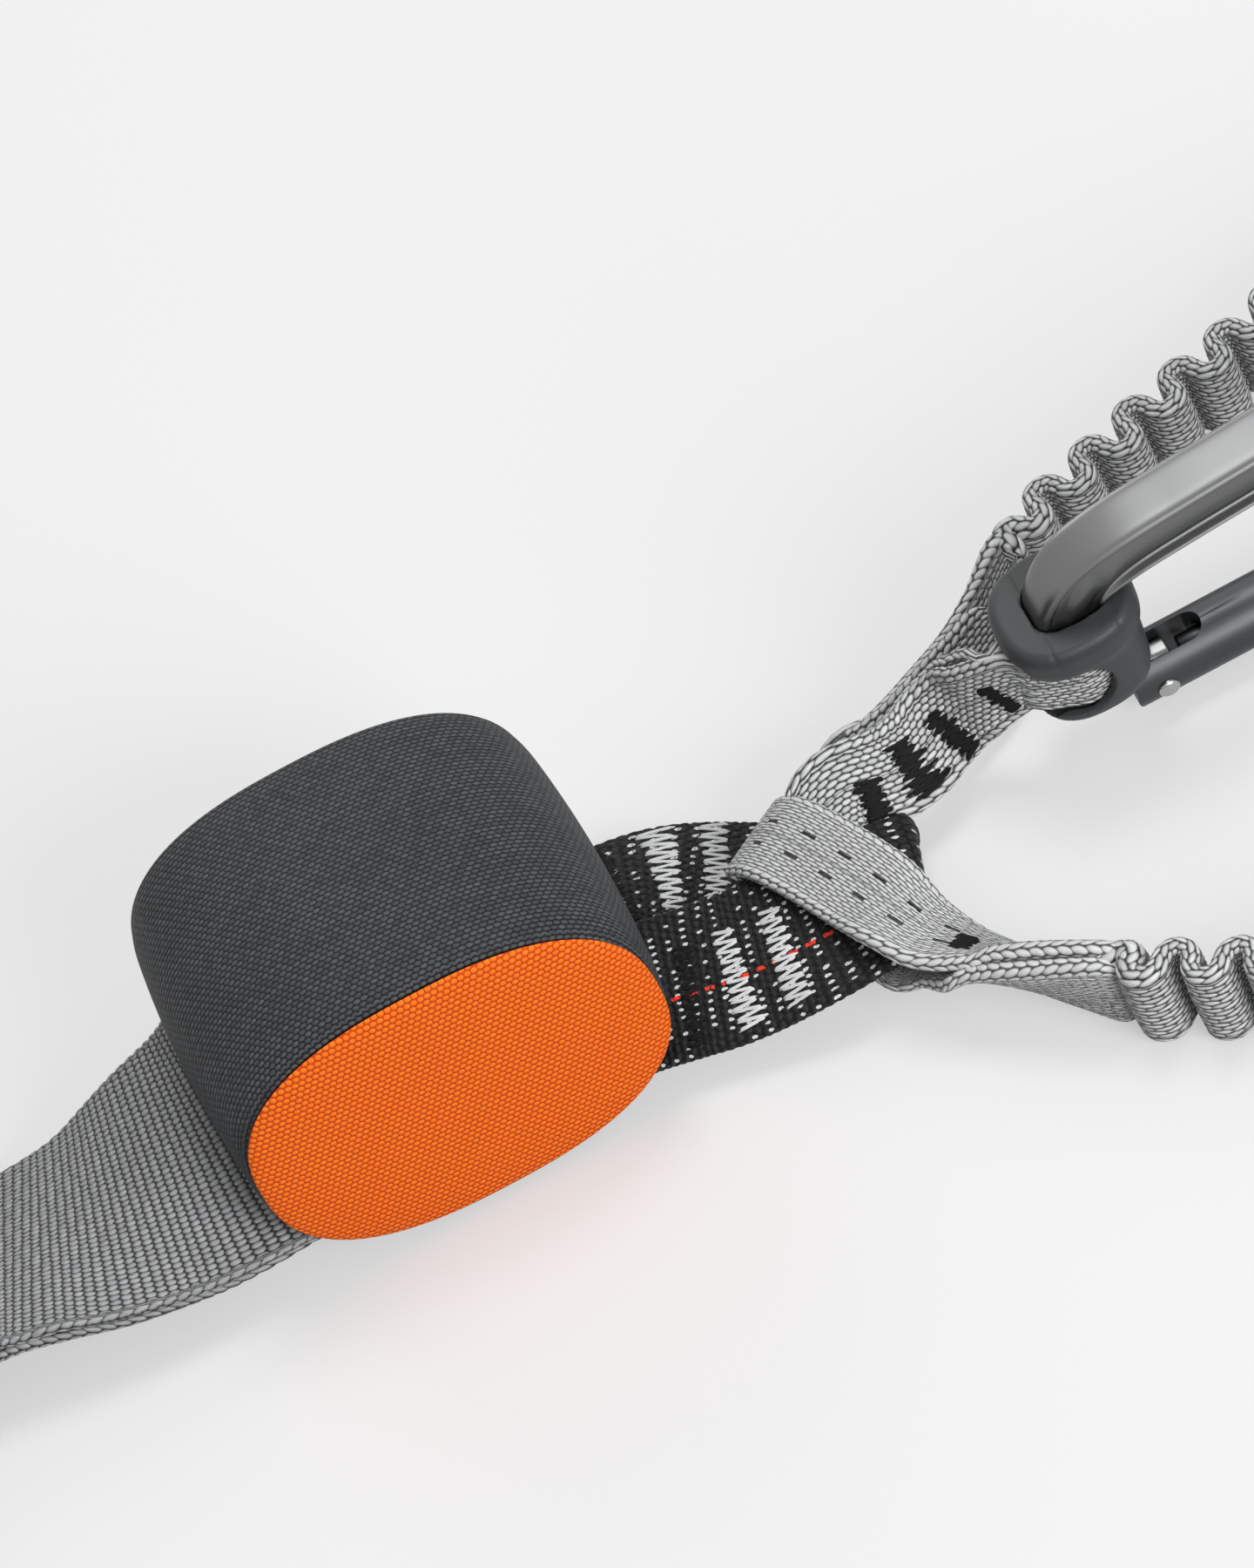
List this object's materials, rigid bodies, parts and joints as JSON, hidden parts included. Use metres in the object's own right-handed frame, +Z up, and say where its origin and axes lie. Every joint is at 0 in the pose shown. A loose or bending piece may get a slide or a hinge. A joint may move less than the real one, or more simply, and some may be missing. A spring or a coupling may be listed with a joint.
{
  "type": "via ferrata lanyard",
  "caption": "Climbing lanyard: padded pouch with folded tear webbing, harness loop, crimped elastic arms, a short resting arm and locking carabiners in rubber keepers.",
  "frame": {"origin": "on the resting surface, under the middle of the pouch", "axes": "+X from the harness loop along the lanyard to the arms, +Y away from the orange panel in front, +Z up"},
  "size_m": [0.5628, 0.223, 0.0522],
  "materials": {
    "grey_webbing": "coarse dense weave with lengthwise rows of knuckles, matt",
    "arm_webbing": "fine crosswise ribs on the faces, braided edges, matt",
    "black_webbing": "basket weave with short white flecks and red tracer dashes, matt",
    "charcoal_fabric": "fine diagonal plain weave, matt",
    "orange_fabric": "fine plain weave over padding, matt",
    "tear_webbing": "plain undyed webbing, matt",
    "zip_coil": "woven tape with a nylon coil",
    "bright_steel": "fine brushed",
    "forged_aluminium": "silver anodised, smooth outside and ribbed groove along the faces",
    "anodised_aluminium": "dark grey anodised, lengthwise brushed",
    "keeper_rubber": "moulded, satin, fine parting lines"
  },
  "bodies": {
    "lanyard": {"harness_loop": "grey_webbing", "black_loop": "black_webbing", "pouch_wall": "charcoal_fabric", "pouch_front_panel": "orange_fabric", "pouch_back_panel": "orange_fabric", "zip_chain": "zip_coil", "absorber_pack": "tear_webbing", "lower_arm_eye": "arm_webbing", "upper_arm_eye": "arm_webbing", "short_arm_strap": "arm_webbing", "upper_elastic_arm": "arm_webbing", "lower_elastic_arm": "arm_webbing", "upper_end_eye": "arm_webbing", "lower_end_eye": "arm_webbing", "short_frame": "forged_aluminium", "short_rivet": "bright_steel", "short_keeper": "keeper_rubber", "upper_frame": "forged_aluminium", "upper_rivet": "bright_steel", "upper_keeper": "keeper_rubber", "lower_frame": "forged_aluminium", "lower_rivet": "bright_steel", "lower_keeper": "keeper_rubber"},
    "short_gate": {"short_gate": "anodised_aluminium"},
    "short_plunger": {"short_plunger": "bright_steel"},
    "upper_gate": {"upper_gate": "anodised_aluminium"},
    "upper_plunger": {"upper_plunger": "bright_steel"},
    "lower_gate": {"lower_gate": "anodised_aluminium"},
    "lower_plunger": {"lower_plunger": "bright_steel"},
    "zip_slider": {"zip_slider": "bright_steel"},
    "zip_pull": {"zip_pull": "bright_steel"}
  },
  "joints": [
    {"name": "short_gate_hinge", "type": "hinge", "parent": "lanyard", "child": "short_gate", "pos_m": [0.1258, 0.0024, 0.006], "axis": [0, -0.9781, -0.2079], "range_deg": [0, 28], "stiffness_Nm_per_rad": 0.12, "springref_deg": -20.05},
    {"name": "short_plunger_slide", "type": "slide", "parent": "short_gate", "child": "short_plunger", "axis": [1, 0, 0], "range_m": [0, 0.0015]},
    {"name": "upper_gate_hinge", "type": "hinge", "parent": "lanyard", "child": "upper_gate", "pos_m": [0.326, 0.06, 0.0098], "axis": [-0.0523, 0, 0.9986], "range_deg": [0, 28], "stiffness_Nm_per_rad": 0.12, "springref_deg": -20.05},
    {"name": "upper_plunger_slide", "type": "slide", "parent": "upper_gate", "child": "upper_plunger", "axis": [-0.9986, 0, -0.0523], "range_m": [0, 0.0015]},
    {"name": "lower_gate_hinge", "type": "hinge", "parent": "lanyard", "child": "lower_gate", "pos_m": [0.326, -0.06, 0.0098], "axis": [0.0523, 0, -0.9986], "range_deg": [0, 28], "stiffness_Nm_per_rad": 0.12, "springref_deg": -20.05},
    {"name": "lower_plunger_slide", "type": "slide", "parent": "lower_gate", "child": "lower_plunger", "axis": [-0.9986, 0, -0.0523], "range_m": [0, 0.0015]},
    {"name": "zip_slide", "type": "slide", "parent": "lanyard", "child": "zip_slider", "axis": [-1, 0, 0], "range_m": [0, 0.0395]},
    {"name": "zip_pull_hinge", "type": "hinge", "parent": "zip_slider", "child": "zip_pull", "pos_m": [0.01995, 0.03382, 0.02638], "axis": [1, 0, 0], "range_deg": [0, 150]}
  ],
  "couplings": [
    {"joint": "short_plunger_slide", "follows": "short_gate_hinge", "m_per_rad": 0.003066},
    {"joint": "upper_plunger_slide", "follows": "upper_gate_hinge", "m_per_rad": 0.003066},
    {"joint": "lower_plunger_slide", "follows": "lower_gate_hinge", "m_per_rad": 0.003066}
  ]
}
